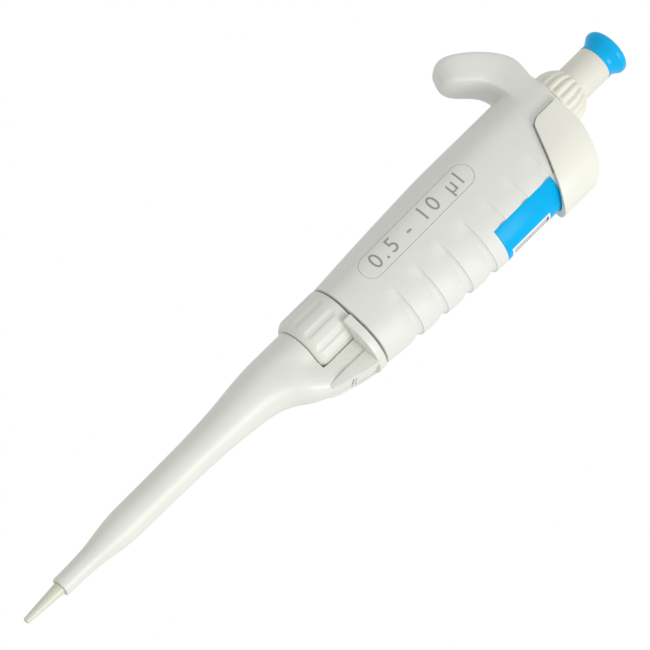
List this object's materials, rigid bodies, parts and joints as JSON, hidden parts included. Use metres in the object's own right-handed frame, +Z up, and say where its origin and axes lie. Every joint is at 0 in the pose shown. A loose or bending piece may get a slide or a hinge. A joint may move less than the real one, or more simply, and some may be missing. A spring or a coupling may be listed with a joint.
{
  "type": "single-channel micropipette",
  "caption": "Hand-held variable-volume micropipette with push button, volume knob and display, finger hook, tip ejector button and slim ejector sleeve over a tapered tip cone.",
  "frame": {"origin": "centre of the end face of the tip cone, on the plunger axis", "axes": "+Z up the plunger axis from the tip cone to the push button; +X towards the front with the volume display and the ejector button; the finger hook is at -X"},
  "size_m": [0.0589, 0.0254, 0.25],
  "materials": {
    "grip_plastic": "fine moulded satin texture",
    "blue_plastic": "satin bright blue",
    "lens": "clear moulded lens with a frosted border",
    "frame_plastic": "glass-filled moulding",
    "steel": "ground stainless steel",
    "bearing_plastic": "self-lubricating acetal",
    "ring_plastic": "smooth satin off-white",
    "cone_plastic": "pale natural polymer",
    "seal_rubber": "moulded elastomer",
    "knob_plastic": "satin ivory",
    "stem_plastic": "satin pale stone",
    "piston_steel": "polished stainless steel",
    "spring_steel": "drawn spring wire",
    "brass": "machined",
    "drum_plastic": "smooth white wheel with black digits"
  },
  "bodies": {
    "root": {"handle_shell": "grip_plastic", "window_frame": "blue_plastic", "window_lens": "lens", "front_panel": "grip_plastic", "inner_frame": "frame_plastic", "counter_bracket": "frame_plastic", "bracket_screws": "steel", "counter_shaft": "steel", "top_bearing": "bearing_plastic", "rod_bush": "bearing_plastic", "coupling_ring": "ring_plastic", "tip_cone": "cone_plastic", "o_ring": "seal_rubber", "piston_seal": "seal_rubber", "seal_retainer": "brass", "return_spring": "spring_steel", "piston_spring": "spring_steel", "blowout_spring": "spring_steel", "ejector_spring_left": "spring_steel", "ejector_spring_right": "spring_steel"},
    "plunger": {"push_button": "blue_plastic", "button_stem": "stem_plastic", "push_rod": "steel", "stop_collar": "steel", "piston_head": "stem_plastic", "piston": "piston_steel"},
    "blowout_stage": {"blowout_washer": "brass"},
    "volume_dial": {"volume_knob": "knob_plastic", "volume_screw": "brass", "drive_gear": "brass"},
    "stop_nut_carrier": {"stop_nut": "bearing_plastic"},
    "tenths_wheel": {"counter_pinion": "drum_plastic", "drum_tenths": "drum_plastic"},
    "units_wheel": {"drum_units": "drum_plastic"},
    "tens_wheel": {"drum_tens": "drum_plastic"},
    "ejector": {"ejector_button": "knob_plastic", "ejector_rod_left": "steel", "ejector_rod_right": "steel", "rod_clips": "steel", "ejector_carrier": "ring_plastic", "ejector_sleeve": "ring_plastic", "lock_pin": "steel"},
    "sleeve_lock": {"lock_lever": "ring_plastic"}
  },
  "joints": [
    {"name": "plunger_press", "type": "slide", "parent": "root", "child": "plunger", "axis": [0, 0, -1], "range_m": [0, 0.0098], "stiffness_N_per_m": 300, "springref_m": -0.005, "deforming": ["return_spring", "piston_spring"]},
    {"name": "blowout_yield", "type": "slide", "parent": "root", "child": "blowout_stage", "axis": [0, 0, -1], "range_m": [0, 0.0023], "deforming": ["blowout_spring"]},
    {"name": "volume_turn", "type": "hinge", "parent": "root", "child": "volume_dial", "pos_m": [0, 0, 0.222], "axis": [0, 0, 1], "range_deg": [0, 2280]},
    {"name": "stop_nut_travel", "type": "slide", "parent": "root", "child": "stop_nut_carrier", "axis": [0, 0, 1], "range_m": [-0.00713, 0], "stiffness_N_per_m": 0.01, "springref_m": 0.3574},
    {"name": "tenths_turn", "type": "hinge", "parent": "root", "child": "tenths_wheel", "pos_m": [0.014, 0, 0.18], "axis": [0, 0, 1], "range_deg": [-3420, 0]},
    {"name": "units_turn", "type": "hinge", "parent": "root", "child": "units_wheel", "pos_m": [0.014, 0, 0.187], "axis": [0, 0, 1], "range_deg": [-342, 0]},
    {"name": "tens_turn", "type": "hinge", "parent": "root", "child": "tens_wheel", "pos_m": [0.014, 0, 0.193], "axis": [0, 0, 1], "range_deg": [-34.2, 0]},
    {"name": "ejector_press", "type": "slide", "parent": "root", "child": "ejector", "axis": [0, 0, -1], "range_m": [0, 0.006], "stiffness_N_per_m": 400, "springref_m": -0.004, "deforming": ["ejector_spring_left", "ejector_spring_right"]},
    {"name": "sleeve_release", "type": "hinge", "parent": "ejector", "child": "sleeve_lock", "pos_m": [0.0174, 0, 0.1235], "axis": [0, 1, 0], "range_deg": [0, 9], "stiffness_Nm_per_rad": 0.01, "springref_deg": -11.46}
  ],
  "couplings": [
    {"joint": "blowout_yield", "follows": "plunger_press", "ratio": 0.23469},
    {"joint": "stop_nut_travel", "follows": "volume_turn", "m_per_rad": -0.00017905},
    {"joint": "tenths_turn", "follows": "volume_turn", "ratio": -1.5},
    {"joint": "units_turn", "follows": "volume_turn", "ratio": -0.15},
    {"joint": "tens_turn", "follows": "volume_turn", "ratio": -0.015}
  ]
}
